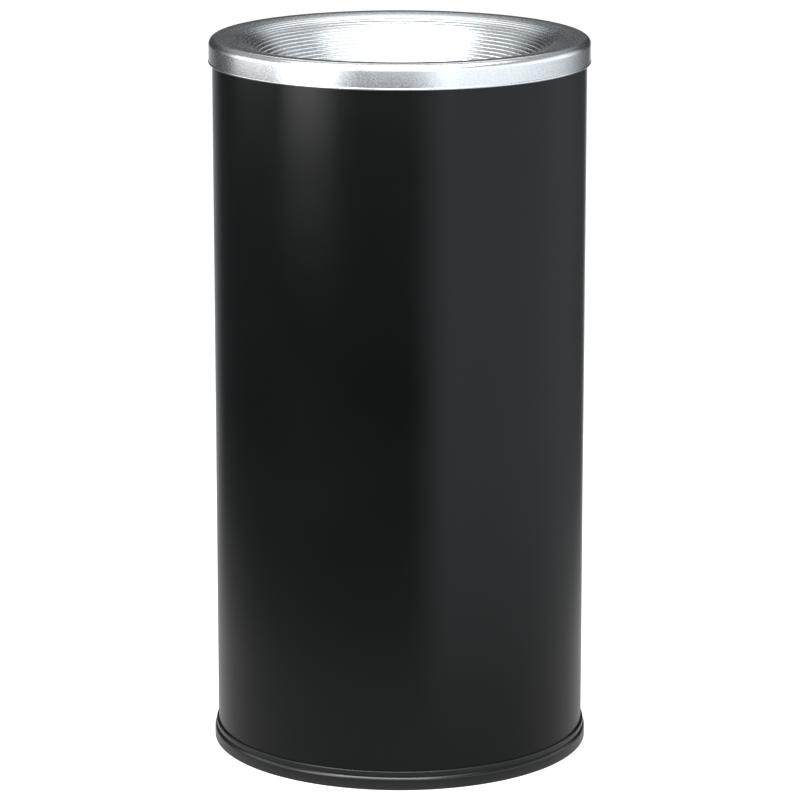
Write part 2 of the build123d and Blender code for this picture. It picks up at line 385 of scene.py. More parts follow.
footVinyl = {
    "tones": [(0.0, "#0f1010"), (0.3, "#262625")],
    "roughness": 0.21,
    "scuffSize": 4.5,
    "scuffHeight": 6.0,   # above the floor, where the scuffs have faded out
    "scuffShare": 0.35,
    "scuffDulling": 0.9,
    "scuffDepth": 0.03,
    "scuffBump": 0.3,
}


def blackVinyl():
    # extruded flexible vinyl: smooth and a little shiny, scuffed dull close to the floor
    material, tree, shader, place = newMaterial("black vinyl")
    apart = addNode(tree, "SeparateXYZ", links={"Vector": place})
    scuffs = addNode(tree, "TexNoise", inputs={
        "Scale": 1 / (footVinyl["scuffSize"] * mm), "Detail": 5.0}, links={"Vector": place})
    low = addNode(tree, "MapRange", inputs={
        "From Min": 0.0, "From Max": footVinyl["scuffHeight"] * mm,
        "To Min": footVinyl["scuffShare"], "To Max": 0.0},
        links={"Value": apart.outputs["Z"]})
    worn = addNode(tree, "Math", {"operation": "MULTIPLY"}, links={
        0: scuffs.outputs["Fac"], 1: low.outputs["Result"]})
    colour = addNode(tree, "ValToRGB", links={"Fac": worn.outputs["Value"]},
        stops=toneStops(footVinyl["tones"]))
    rough = addNode(tree, "Math", {"operation": "MULTIPLY_ADD"}, {
        1: footVinyl["scuffDulling"], 2: footVinyl["roughness"]}, {0: worn.outputs["Value"]})
    bump = addNode(tree, "Bump", inputs={
        "Strength": footVinyl["scuffBump"], "Distance": footVinyl["scuffDepth"] * mm},
        links={"Height": scuffs.outputs["Fac"]})
    plugIn(tree, shader, {"Base Color": colour, "Roughness": rough, "Normal": bump})
    return material


primer = {
    "tones": [(0.42, "#121212"), (0.75, "#3a3936")],
    "roughness": 0.5,
    "dustSize": 14.0,
    "dustDulling": 0.3,
    "dustDepth": 0.05,
    "dustBump": 0.4,
}


def blackPanPaint():
    # thin black primer on pressed steel: duller than the outside, with a little settled ash
    material, tree, shader, place = newMaterial("black pan paint")
    dust = addNode(tree, "TexNoise", inputs={
        "Scale": 1 / (primer["dustSize"] * mm), "Detail": 8.0, "Roughness": 0.7}, links={"Vector": place})
    upward = addNode(tree, "SeparateXYZ", links={
        "Vector": addNode(tree, "NewGeometry").outputs["Normal"]})
    settled = addNode(tree, "Math", {"operation": "MULTIPLY"}, links={
        0: dust.outputs["Fac"], 1: upward.outputs["Z"]})
    colour = addNode(tree, "ValToRGB", links={"Fac": settled.outputs["Value"]},
        stops=toneStops(primer["tones"]))
    rough = addNode(tree, "Math", {"operation": "MULTIPLY_ADD"}, {
        1: primer["dustDulling"], 2: primer["roughness"]}, {0: dust.outputs["Fac"]})
    bump = addNode(tree, "Bump", inputs={
        "Strength": primer["dustBump"], "Distance": primer["dustDepth"] * mm},
        links={"Height": dust.outputs["Fac"]})
    plugIn(tree, shader, {"Base Color": colour, "Roughness": rough, "Normal": bump})
    return material


zincCoat = {
    "tones": [(0.2, "#989ea2"), (0.6, "#b2b6b8"), (1.0, "#c8cccd")],
    "smoothest": 0.34,
    "roughest": 0.55,
    "grainSize": 1.4,
    "grainShare": 0.3,
    "grainDepth": 0.03,
    "grainBump": 0.3,
    # across one flake
    "sheetFlake": 7.0,
    "strapFlake": 4.0,
    "wireFlake": 2.5,
}


def galvanisedSteel(name, flakeSize):
    # hot-dipped zinc: pale grey flakes, each catching the light a little differently
    material, tree, shader, place = newMaterial(name)
    flakes = addNode(tree, "TexVoronoi", inputs={
        "Scale": 1 / (flakeSize * mm), "Randomness": 1.0}, links={"Vector": place})
    tones = addNode(tree, "SeparateColor", links={"Color": flakes.outputs["Color"]})
    grain = addNode(tree, "TexNoise", inputs={
        "Scale": 1 / (zincCoat["grainSize"] * mm), "Detail": 3.0}, links={"Vector": place})
    both = addNode(tree, "Math", {"operation": "MULTIPLY_ADD"}, {1: zincCoat["grainShare"]},
                   {0: grain.outputs["Fac"], 2: tones.outputs["Red"]})
    colour = addNode(tree, "ValToRGB", links={"Fac": both.outputs["Value"]},
        stops=toneStops(zincCoat["tones"]))
    rough = addNode(tree, "MapRange", inputs={
        "To Min": zincCoat["smoothest"], "To Max": zincCoat["roughest"]},
        links={"Value": tones.outputs["Green"]})
    bump = addNode(tree, "Bump", inputs={
        "Strength": zincCoat["grainBump"], "Distance": zincCoat["grainDepth"] * mm},
        links={"Height": grain.outputs["Fac"]})
    shader.inputs["Metallic"].default_value = 1.0
    plugIn(tree, shader, {"Base Color": colour, "Roughness": rough, "Normal": bump})
    return material


rivetMetal = {
    "tones": [(0.3, "#a9adb0"), (0.65, "#c9ccce")],
    "smoothest": 0.28,
    "roughest": 0.44,
    "grainSize": 0.8,
    "grainDepth": 0.02,
    "grainBump": 0.3,
}


def rivetAluminium():
    # upset aluminium rivets: bright where the tool pressed them, with a fine matt grain
    material, tree, shader, place = newMaterial("rivet aluminium")
    grain = addNode(tree, "TexNoise", inputs={
        "Scale": 1 / (rivetMetal["grainSize"] * mm), "Detail": 4.0}, links={"Vector": place})
    colour = addNode(tree, "ValToRGB", links={"Fac": grain.outputs["Fac"]},
        stops=toneStops(rivetMetal["tones"]))
    rough = addNode(tree, "MapRange", inputs={
        "From Min": noiseLow, "From Max": noiseHigh,
        "To Min": rivetMetal["smoothest"], "To Max": rivetMetal["roughest"]},
        links={"Value": grain.outputs["Fac"]})
    bump = addNode(tree, "Bump", inputs={
        "Strength": rivetMetal["grainBump"], "Distance": rivetMetal["grainDepth"] * mm},
        links={"Height": grain.outputs["Fac"]})
    shader.inputs["Metallic"].default_value = 1.0
    plugIn(tree, shader, {"Base Color": colour, "Roughness": rough, "Normal": bump})
    return material


foam = {
    # the darker tone is painted shade, laid at the bottom of each cell's pit
    "tones": [(0.0, "#050505"), (0.8, "#101010")],
    "roughness": 0.85,
    "cellSize": 0.5,      # real cells are finer
    "cellDepth": 0.1,
    "cellBump": 0.6,
}


def foamStrip():
    # closed-cell foam: matt black with fine cells, drawn coarse enough to show; the colour darkens into the
    # pit of each cell, which is painted shade
    material, tree, shader, place = newMaterial("closed-cell foam")
    cells = addNode(tree, "TexVoronoi", inputs={
        "Scale": 1 / (foam["cellSize"] * mm)}, links={"Vector": place})
    # painted shade: the colour is darkest at the middle of each cell, where the bump sinks into a pit
    colour = addNode(tree, "ValToRGB", links={"Fac": cells.outputs["Distance"]},
        stops=toneStops(foam["tones"]))
    bump = addNode(tree, "Bump", inputs={
        "Strength": foam["cellBump"], "Distance": foam["cellDepth"] * mm},
        links={"Height": cells.outputs["Distance"]})
    shader.inputs["Roughness"].default_value = foam["roughness"]
    plugIn(tree, shader, {"Base Color": colour, "Normal": bump})
    return material


say("materials")
coat = blackPowderCoat()
aluminium = spunAluminium()
vinyl = blackVinyl()
panPaint = blackPanPaint()
zincSheet = galvanisedSteel("galvanised sheet", zincCoat["sheetFlake"])
zincStrap = galvanisedSteel("galvanised strap", zincCoat["strapFlake"])
zincWire = galvanisedSteel("galvanised wire", zincCoat["wireFlake"])
rivetFinish = rivetAluminium()
gasketFoam = foamStrip()


top = {
    "sheet": 1.2,
    "rimRadius": 133.4,
    "skirtHeight": 17.7,
    "edgeBead": 0.95,
    "beadStraight": 0.6,   # from the bead's top to the skirt's next point
    "cornerRoll": 5.0,
    "crestInner": 122.6,
    "crestBlend": 10.0,
    "leadAngle": 10.0,
    "leadWidth": 16.8,
    "shoulder": 28.7,
    "coneAngle": 50.0,
    "throatRadius": 48.0,
    "throatBlend": 8.0,
    "ribStart": 10.6,      # along the surface, from the inner edge of the crest
    "ribPitch": 3.0,
    "ribEndGap": 14.0,
    "grooveDepth": 0.26,
    "grooveWidth": 0.9,
    "ribCrown": 0.07,
    "crownPoints": [0.8, 1.5, 2.2],  # from the middle of a groove
    "plainMargin": 1.5,    # half groove widths kept free of plain points
    "crestMargin": 1,      # outside crestInner, where the crest is taken to end
    "underSpacing": 2,     # least distance between points of the underside
    "sharpAngle": 40,
}


def topSurface():
    shoulderRadius = top["crestInner"] - top["leadWidth"]
    shoulderHeight = crestHeight - top["leadWidth"] * math.tan(math.radians(top["leadAngle"]))
    drop = (shoulderRadius - top["throatRadius"]) * math.tan(math.radians(top["coneAngle"]))
    wallBottom = crestHeight - top["skirtHeight"] + 2 * top["edgeBead"]
    return [(top["rimRadius"], wallBottom)] + roundedPath([
        (top["rimRadius"], wallBottom + top["beadStraight"], 0),
        (top["rimRadius"], crestHeight, top["cornerRoll"]),
        (top["crestInner"], crestHeight, top["crestBlend"]),
        (shoulderRadius, shoulderHeight, top["shoulder"]),
        (top["throatRadius"], shoulderHeight - drop, top["throatBlend"]),
        (top["throatRadius"], spoutBottom, 0),
    ], stepAngle=4)


def ribHeight(offset):
    # height of the surface at a distance from the middle of the nearest groove
    half = top["grooveWidth"] / 2
    if abs(offset) < half:
        return -top["grooveDepth"] * (0.5 + 0.5 * math.cos(math.pi * offset / half))
    across = (abs(offset) - half) / (top["ribPitch"] / 2 - half)
    return top["ribCrown"] * math.sin(across * math.pi / 2)


def ribbedSurface():
    surface = topSurface()
    lengths = pathLengths(surface)
    crestLimit = top["crestInner"] + top["crestMargin"]
    crestEnd = next(d for d, p in zip(lengths, surface) if p[0] < crestLimit)
    first = crestEnd + top["ribStart"]
    count = int((lengths[-1] - top["ribEndGap"] - first) // top["ribPitch"])
    last = first + count * top["ribPitch"]
    half = top["grooveWidth"] / 2
    margin = half * top["plainMargin"]
    offsets = [-half, -half / 2, 0, half / 2, half] + top["crownPoints"]
    distances = [d for d in lengths if d < first - margin]
    for rib in range(count + 1):
        distances += [first + rib * top["ribPitch"] + offset for offset in offsets]
    distances = [d for d in distances if d <= last + half]
    distances += [d for d in lengths if d > last + margin]
    base = []
    i = 0
    for d in distances:
        while i < len(surface) - 2 and lengths[i + 1] < d:
            i += 1
        share = (d - lengths[i]) / (lengths[i + 1] - lengths[i])
        base.append(tuple(a + (b - a) * share for a, b in zip(surface[i], surface[i + 1])))
    ribbed = []
    for d, point, normal in zip(distances, base, leftNormals(base)):
        rise = 0.0
        if first - half <= d <= last + half:
            rise = ribHeight(d - first - round((d - first) / top["ribPitch"]) * top["ribPitch"])
        ribbed.append((point[0] - normal[0] * rise, point[1] - normal[1] * rise))
    return ribbed


def makeFunnelTop():
    beadMiddle = (top["rimRadius"] - top["sheet"] / 2, crestHeight - top["skirtHeight"] + top["edgeBead"])
    reach = math.degrees(math.acos(top["sheet"] / 2 / top["edgeBead"]))
    bead = arcPoints(beadMiddle, top["edgeBead"], 180 - reach, 360 + reach, stepAngle=15)
    under = shifted(topSurface(), top["sheet"])[::-1]
    spaced = [under[0]]
    for point in under[1:-1]:
        if math.dist(point, spaced[-1]) > top["underSpacing"]:
            spaced.append(point)
    outline = bead + ribbedSurface()[1:] + spaced
    piece = spinOutline("funnelTop", outline + [outline[0]], sharpAngle=top["sharpAngle"])
    finishPiece(piece, aluminium, "funnel", "funnel_top")


say("funnel top")
makeFunnelTop()


def cutBack(piece, places, nearest):
    # cuts the wall at the back along upright planes, at these distances from the middle in mm;
    # nearest is how far back a face has to be
    for x in places:
        pickFaces(piece, lambda c, n: c.y > nearest and abs(c.x) < backWindow)
        bpy.ops.mesh.bisect(plane_co=(x * mm, 0, 0), plane_no=(1, 0, 0))
        objectMode()


can = {
    "sheet": 0.9,
    "flange": 8.0,
    "lip": 4.0,
    "topBend": 2.0,
    "lipBend": 1.4,
    "bendStart": 1,        # below the bend, where the rows of the wall end
    "rows": 36,
    "seamWidth": 8.0,
    "seamThickness": 1.8,
    "seamLine": 0.6,
    "seamLineDepth": 0.35,
    "seamLineSlope": 1.8,  # the line's sloped sides reach this many half widths
    "seamEndGap": 3.0,
    # how far inside the outer radius a picked face may lie
    "skinReach": 0.5,
    "lineReach": 0.3,
    "wallReach": 2,
    "sharpAngle": 30,
}


def makeCylinder():
    inner = canRadius - can["flange"]
    wallTop = canTop - can["topBend"] - can["bendStart"]
    wall = splitEvenly((canRadius, canBottom), (canRadius, wallTop), can["rows"])
    path = wall + roundedPath([
        (canRadius, wallTop, 0),
        (canRadius, canTop, can["topBend"]),
        (inner, canTop, can["lipBend"]),
        (inner, canTop - can["lip"], 0),
    ], stepAngle=12)[1:]
    piece = spinOutline("steelCylinder", path + shifted(path, can["sheet"])[::-1] + [path[0]])
    line = can["seamLine"] / 2
    half = can["seamWidth"] / 2
    foldTop = canTop - can["topBend"] - can["seamEndGap"]
    foldBottom = panTop + can["seamEndGap"]
    slope = line * can["seamLineSlope"]
    skin = canRadius - can["lineReach"]
    wallInside = canRadius - can["wallReach"]
    cutBack(piece, (-slope, -line, line, slope), canRadius - can["skinReach"])
    pickFaces(piece, lambda c, n: c.y > skin and abs(c.x) < line and n.y > 0.9)
    bpy.ops.transform.translate(value=(0, -can["seamLineDepth"] * mm, 0))
    objectMode()
    cutBack(piece, (-half, half), wallInside)
    pickFaces(piece, lambda c, n: c.y > wallInside and abs(c.x) < half and n.y < -0.9
              and foldBottom < c.z < foldTop)
    extrudeBy(0, -can["seamThickness"], 0)
    objectMode()
    smooth(piece, can["sharpAngle"])
    finishPiece(piece, coat, "urn_body", "body_shell")


say("cylinder")
makeCylinder()


foot = {
    "band": 2.7,
    "bandHeight": 9.2,
    "shoulderDrop": 1.6,   # the band's sloped shoulder, which catches the light
    "shoulderWidth": 1.3,
    "shoulderRound": 1.6,
    "crownRound": 0.6,
    "groove": 0.9,
    "grooveHeight": 0.6,
    "grooveRound": 0.2,
    "lip": 1.5,
    "lipHeight": 3.5,
    "lipUnderRound": 0.3,
    "lipRound": 0.9,
    "mouthRound": 0.1,
    "web": 3.0,
    "legWidth": 2.2,
    "legHeight": 8.0,
    "legRound": 0.4,
    "wallGap": 1.8,        # both sheets that stand in the channel
    "floorRound": 0.8,
    "outlineStart": 1,     # on the flat underside, outwards of the leg's inner face
    "jointLine": 0.3,
    "jointDepth": 0.4,
    # how far outside the cylinder a cut or pushed face has to lie
    "cutReach": 0.3,
    "pushReach": 0.5,
}


def makeFootRing():
    band = canRadius + foot["band"]
    groove = canRadius + foot["groove"]
    lip = canRadius + foot["lip"]
    legOuter = canRadius - foot["wallGap"]
    legInner = legOuter - foot["legWidth"]
    start = legInner + foot["outlineStart"]
    grooveTop = foot["bandHeight"] + foot["grooveHeight"]
    ringTop = grooveTop + foot["lipHeight"]
    path = roundedPath([
        (start, 0, 0),
        (band, 0, foot["floorRound"]),
        (band, foot["bandHeight"] - foot["shoulderDrop"], foot["shoulderRound"]),
        (band - foot["shoulderWidth"], foot["bandHeight"], foot["crownRound"]),
        (groove, foot["bandHeight"], foot["grooveRound"]),
        (groove, grooveTop, foot["grooveRound"]),
        (lip, grooveTop, foot["lipUnderRound"]),
        (lip, ringTop, foot["lipRound"]),
        (canRadius, ringTop, foot["mouthRound"]),
        (canRadius, foot["web"], 0),
        (legOuter, foot["web"], 0),
        (legOuter, foot["legHeight"], foot["legRound"]),
        (legInner, foot["legHeight"], foot["legRound"]),
        (legInner, 0, foot["legRound"]),
        (start, 0, 0),
    ], stepAngle=15)
    piece = spinOutline("footRing", path)
    # the strip's two ends meet at the back
    line = foot["jointLine"] / 2
    pushFrom = canRadius + foot["pushReach"]
    cutBack(piece, (-line * 2, -line, line, line * 2), canRadius + foot["cutReach"])
    pickFaces(piece, lambda c, n: c.y > pushFrom and abs(c.x) < line and n.y > 0.3)
    bpy.ops.transform.translate(value=(0, -foot["jointDepth"] * mm, 0))
    objectMode()
    smooth(piece, edgeAngle)
    finishPiece(piece, vinyl, "urn_body", "base_ring")


say("foot ring")
makeFootRing()


pail = {
    "sheet": 0.6,
    "curlWire": 2.0,
    "curlAngle": 250.0,
    "footLip": 1.8,
    "footBend": 0.9,
    "beadProud": 2.0,
    "beadSide": 2.5,
    "beadTop": 4.0,
    "beadCorner": 1.2,
    "beadInset": 75.0,     # from the foot and from the rim
    "baseRise": 5.6,
    "seamWidth": 7.0,
    "seamThickness": 0.9,
    "seamEndGap": 4.0,
    "wallReach": 2,        # how far inside the outer radius a picked face may lie
    "baseRows": 8,
}
pailRadius = rimWireOuter - 2 * pail["curlWire"]


def makePailCan():
    beadHalf = pail["beadTop"] / 2 + pail["beadSide"]
    middles = (panTop + pail["beadInset"], rimWireHeight - pail["beadInset"])
    corners = [(pailRadius - pail["footLip"], panTop, 0), (pailRadius, panTop, pail["footBend"])]
    for middle in middles:
        corners += [
            (pailRadius, middle - beadHalf, pail["beadCorner"]),
            (pailRadius + pail["beadProud"], middle - pail["beadTop"] / 2, pail["beadCorner"]),
            (pailRadius + pail["beadProud"], middle + pail["beadTop"] / 2, pail["beadCorner"]),
            (pailRadius, middle + beadHalf, pail["beadCorner"]),
        ]
    corners.append((pailRadius, rimWireHeight, 0))
    wireMiddle = (pailRadius + pail["curlWire"], rimWireHeight)
    curl = arcPoints(wireMiddle, pail["curlWire"], 180, 180 - pail["curlAngle"], stepAngle=12)
    path = roundedPath(corners, stepAngle=15) + curl[1:]
    piece = spinOutline("pailCan", path + shifted(path, pail["sheet"])[::-1] + [path[0]])
    # the lapped side seam stands inside, at the back
    half = pail["seamWidth"] / 2
    low = panTop + pail["baseRise"] + pail["seamEndGap"]
    high = rimWireHeight - pail["seamEndGap"]
    wallInside = pailRadius - pail["wallReach"]
    for height in (low, high):
        pickFaces(piece, lambda c, n: c.y > wallInside and abs(c.x) < backWindow)
        bpy.ops.mesh.bisect(plane_co=(0, 0, height * mm), plane_no=(0, 0, 1))
        objectMode()
    cutBack(piece, (-half, half), wallInside)
    pickFaces(piece, lambda c, n: c.y > wallInside and abs(c.x) < half and n.y < -0.5
              and low < c.z < high)
    extrudeBy(0, -pail["seamThickness"], 0)
    objectMode()
    smooth(piece, edgeAngle)
    finishPiece(piece, zincSheet, "pail", "pail_body")


def makePailBase():
    inner = pailRadius - pail["sheet"]
    path = roundedPath([
        (0, panTop + pail["baseRise"], 0),
        (inner, panTop + pail["baseRise"], pail["footBend"]),
        (inner, panTop + pail["footBend"], 0),
    ], stepAngle=15)
    path = splitEvenly(path[0], path[1], pail["baseRows"]) + path[2:]
    piece = spinOutline("pailBase", path + shifted(path, -pail["sheet"])[::-1])
    finishPiece(piece, zincSheet, "pail", "pail_bottom")


say("pail")
makePailCan()
makePailBase()


pan = {
    "sheet": 0.9,
    "bend": 2.0,
    "corner": 1.6,
    "dishDrop": 3.5,
    "dishSlope": 8.0,
    "dishInset": 31.0,
    "beadHeight": 3.5,
    "beadClearance": 2.5,
    "beadSide": 1.8,
    "beadTop": 4.0,
    "holeRadius": 4.0,
    "holeCount": 4,
    "holeInset": 11.0,
    "holeTurn": 45,        # degrees from the right to the first hole
    "holeSteps": 32,
    "cutterLength": 8,
    "dishRows": 6,
}


def makeFloorPan():
    wall = canRadius - can["sheet"]
    dishEdge = pailRadius - pan["dishInset"]
    beadFoot = pailRadius + pan["beadClearance"]
    beadFarFoot = beadFoot + 2 * pan["beadSide"] + pan["beadTop"]
    path = roundedPath([
        (0, panTop - pan["dishDrop"], 0),
        (dishEdge, panTop - pan["dishDrop"], pan["corner"]),
        (dishEdge + pan["dishSlope"], panTop, pan["corner"]),
        (beadFoot, panTop, pan["corner"]),
        (beadFoot + pan["beadSide"], panTop + pan["beadHeight"], pan["corner"]),
        (beadFarFoot - pan["beadSide"], panTop + pan["beadHeight"], pan["corner"]),
        (beadFarFoot, panTop, pan["corner"]),
        (wall, panTop, pan["bend"]),
        (wall, canBottom, 0),
    ], stepAngle=15)
    path = splitEvenly(path[0], path[1], pan["dishRows"]) + path[2:]
    piece = spinOutline("floorPan", path + shifted(path, -pan["sheet"])[::-1])
    cutters = []
    for index in range(pan["holeCount"]):
        angle = math.radians(pan["holeTurn"] + 360 * index / pan["holeCount"])
        reach = (pailRadius - pan["holeInset"]) * mm
        selectNone()
        bpy.ops.mesh.primitive_cylinder_add(
            vertices=pan["holeSteps"], radius=pan["holeRadius"] * mm, depth=pan["cutterLength"] * mm,
            location=(reach * math.cos(angle), reach * math.sin(angle), panTop * mm))
        cutters.append(bpy.context.object)
    cutAway(piece, cutters)
    smooth(piece, edgeAngle)
    finishPiece(piece, panPaint, "urn_body", "base_pan")


say("floor pan")
makeFloorPan()


ear = {
    "sheet": 1.5,
    "standoff": 6.0,
    "height": 20.0,
    "archHalf": 12.0,
    "footEnd": 28.0,
    "bend": 0.8,           # inside of each bend
    "footCorner": 4.0,
    "holeRadius": 2.33,
    "edgeRound": 0.3,
    "edgeRoundAngle": 50,
    "rivetEdge": 2.0,      # metal between the rivet's head and the end of the foot
    "footRows": 6,
    "archRows": 8,
    "cornerSteps": 6,
    "holeSteps": 40,
    "cutterLength": 8,
    "endMargin": 0.5,      # how near the end of the foot an edge has to be to be rounded
    "sharpAngle": 40,
}
rivet = {
    "radius": 2.0,
    "headRadius": 3.6,
    "headHeight": 1.6,
    "tailRadius": 3.0,
    "tailHeight": 1.0,
    "headRim": 0.4,        # the upright edge under the dome
    "tailBevelAcross": 0.5,
    "tailBevelUp": 0.35,
    "domeSteps": 8,
    "steps": 32,
    "sharpAngle": 40,
}


def makeEar(name, node, facing):
    legInside = ear["archHalf"] - ear["sheet"] / 2
    outerBend = ear["bend"] + ear["sheet"]
    flat = roundedPath([
        (-ear["footEnd"], 0, 0),
        (-legInside, 0, outerBend),
        (-legInside, ear["standoff"], ear["bend"]),
        (legInside, ear["standoff"], ear["bend"]),
        (legInside, 0, outerBend),
        (ear["footEnd"], 0, 0),
    ], stepAngle=15)
    # the long straight runs follow the pail's round wall
    firstFoot = splitEvenly(flat[0], flat[1], ear["footRows"])
    lastFoot = splitEvenly(flat[-2], flat[-1], ear["footRows"])
    path = firstFoot[:-1] + flat[1:-1] + lastFoot[1:]
    middle = len(path) // 2
    arch = splitEvenly(path[middle - 1], path[middle], ear["archRows"])
    path = path[:middle] + arch[1:] + path[middle + 1:]
    section = path + shifted(path, ear["sheet"])[::-1]
    low = pivotHeight - ear["height"] / 2
    points = []
    for along, out in section:
        angle = along / pailRadius
        reach = pailRadius + out
        points.append((reach * math.cos(angle) * facing, reach * math.sin(angle), low))
    piece = drawOutline(name, points + [points[0]])
    editMode(piece, "VERT", "SELECT")
    bpy.ops.mesh.edge_face_add()
    extrudeBy(0, 0, ear["height"])
    objectMode()
    cleanUp(piece)
    ends = pailRadius * math.sin(ear["footEnd"] / pailRadius) - ear["endMargin"]
    pickEdges(piece, lambda a, b: abs(a.z - b.z) < 0.1 and abs(a.y) > ends and abs(b.y) > ends
              and abs((a - b).length - ear["sheet"]) < 0.2)
    bpy.ops.mesh.bevel(offset=ear["footCorner"] * mm, segments=ear["cornerSteps"], affect="EDGES")
    objectMode()
    selectNone()
    bpy.ops.mesh.primitive_cylinder_add(
        vertices=ear["holeSteps"], radius=ear["holeRadius"] * mm, depth=ear["cutterLength"] * mm,
        rotation=(0, math.pi / 2, 0),
        location=((pailRadius + ear["standoff"]) * mm * facing, 0, pivotHeight * mm))
    cutAway(piece, [bpy.context.object])
    applyModifier(piece, "BEVEL", width=ear["edgeRound"] * mm, segments=2, limit_method="ANGLE",
                  angle_limit=math.radians(ear["edgeRoundAngle"]))
    smooth(piece, ear["sharpAngle"])
    finishPiece(piece, zincStrap, "pail", node)


def makeRivets():
    inside = pailRadius - pail["sheet"]
    tailFace = math.sqrt(inside ** 2 - rivet["tailRadius"] ** 2) - pailRadius
    head = ear["sheet"]
    dome = rivet["headHeight"] - rivet["headRim"]
    tailEnd = tailFace - rivet["tailHeight"]
    outline = [
        (0, tailEnd),
        (rivet["tailRadius"] - rivet["tailBevelAcross"], tailEnd),
        (rivet["tailRadius"], tailEnd + rivet["tailBevelUp"]),
        (rivet["tailRadius"], tailFace),
        (rivet["radius"], tailFace),
        (rivet["radius"], head),
        (rivet["headRadius"], head),
    ]
    for step in range(rivet["domeSteps"] + 1):
        turn = math.radians(step * 90 / rivet["domeSteps"])
        rise = head + rivet["headRim"] + dome * math.sin(turn)
        outline.append((rivet["headRadius"] * math.cos(turn), rise))
    run = ear["footEnd"] - rivet["headRadius"] - ear["rivetEdge"]
    angle = math.degrees(run / pailRadius)
    rivets = []
    for turn in (-angle, angle, 180 - angle, 180 + angle):
        piece = spinOutline("pailRivets", outline, rivet["steps"], rivet["sharpAngle"])
        way = math.radians(turn)
        reach = pailRadius * mm
        piece.rotation_euler = (0, math.radians(90), way)
        piece.location = (reach * math.cos(way), reach * math.sin(way), pivotHeight * mm)
        applyPlace(piece)
        rivets.append(piece)
    piece = nameIt(joinAll(rivets), "pailRivets")
    finishPiece(piece, rivetFinish, "pail", "pail_ear_rivets")


say("ears and rivets")
makeEar("earRight", "pail_ear_right", 1)
makeEar("earLeft", "pail_ear_left", -1)
makeRivets()


bail = {
    "wire": 2.25,
    "elbow": 4.5,
    "headRadius": 3.4,
    "headLength": 2.0,
    "headRound": 0.3,
    "headGap": 2.0,        # from the pail's wall to the head
    "restGap": 0.65,       # between the hanging wire and the pail
    "around": 24,
    "arcSteps": 40,
    "elbowSteps": 10,
    "sharpAngle": 40,
}


def makeBail():
    # half of the handle is made flat on the left, then mirrored and hung down in front
    wire = bail["wire"]
    elbowStart = bailSpread - wire - bail["elbow"]
    radius = bail["elbow"] + math.hypot(bail["elbow"], elbowStart)
    lean = math.atan2(bail["elbow"], elbowStart)
    end = pailRadius + bail["headGap"] + bail["headLength"]
    selectNone()
    bpy.ops.mesh.primitive_circle_add(vertices=bail["around"], radius=wire * mm,
                                      location=(0, -radius * mm, 0), rotation=(0, math.pi / 2, 0))
    piece = nameIt(bpy.context.object, "bailHandle")
    applyPlace(piece)
    editMode(piece, "VERT", "SELECT")
    bpy.ops.mesh.spin(steps=bail["arcSteps"], angle=math.pi / 2 - lean, center=(0, 0, 0), axis=(0, 0, 1))
    bpy.ops.mesh.spin(steps=bail["elbowSteps"], angle=math.pi / 2 + lean,
                      center=(-elbowStart * mm, -bail["elbow"] * mm, 0), axis=(0, 0, 1))
    extrudeBy(elbowStart - end, 0, 0)
    # the upset head, its edge a little rounded
    middle = Vector((-end, 0, 0)) * mm
    edge = bail["headRound"]
    widest = bail["headRadius"]
    straight = bail["headLength"] - 2 * edge
    for grow, move in ((widest - edge, 0), (widest, edge), (widest, straight), (widest - edge, edge)):
        scale = grow / wire
        extrudeBy(move, 0, 0)
        middle.x += move * mm
        bpy.ops.transform.resize(value=(1, scale, scale), center_override=middle)
        wire = grow
    bpy.ops.mesh.edge_face_add()
    objectMode()
    applyModifier(piece, "MIRROR", use_axis=(True, False, False), use_mirror_merge=True,
                  merge_threshold=mergeGap * mm)
    droop = math.acos((pailRadius + bail["restGap"] + bail["wire"]) / radius)
    piece.rotation_euler = (droop, 0, 0)
    piece.location = (0, 0, pivotHeight * mm)
    applyPlace(piece)
    cleanUp(piece)
    smooth(piece, bail["sharpAngle"])
    finishPiece(piece, zincWire, "bail", "bail_handle")


gasket = {
    "flangeInset": 0.6,    # from the inner edge of the cylinder's flange
    "round": 0.3,
}


def makeGasket():
    inner = canRadius - can["flange"] + gasket["flangeInset"]
    outer = gasketHigh.x
    low, high = gasketLow.z, gasketHigh.z
    middle = (inner + outer) / 2
    path = roundedPath([
        (middle, low, 0),
        (outer, low, gasket["round"]),
        (outer, high, gasket["round"]),
        (inner, high, gasket["round"]),
        (inner, low, gasket["round"]),
        (middle, low, 0),
    ], stepAngle=22)
    piece = spinOutline("seatGasket", path)
    finishPiece(piece, gasketFoam, "urn_body", "seat_gasket")


say("bail and gasket")
makeBail()
makeGasket()

rimWire = frame["nodes"]["pail_rim_wire"]
rimWire.data.materials.clear()
rimWire.data.materials.append(zincWire)


view = {
    "distance": 2.80,
    "height": 0.915,
    "tilt": 13.42,       # degrees below level
    "lens": 181.9,
    "sensor": 36.0,
    "aside": 0.0002,     # metres to the right
    "nearest": 0.05,     # metres; nothing nearer or farther is drawn
    "farthest": 100,
}


def makeCamera():
    data = bpy.data.cameras.new("camera")
    data.lens = view["lens"]
    data.sensor_width = view["sensor"]
    data.clip_start = view["nearest"]
    data.clip_end = view["farthest"]
    camera = bpy.data.objects.new("camera", data)
    camera.location = (view["aside"], -view["distance"], view["height"])
    camera.rotation_euler = (math.radians(90 - view["tilt"]), 0, 0)
    bpy.context.collection.objects.link(camera)
    bpy.context.scene.camera = camera


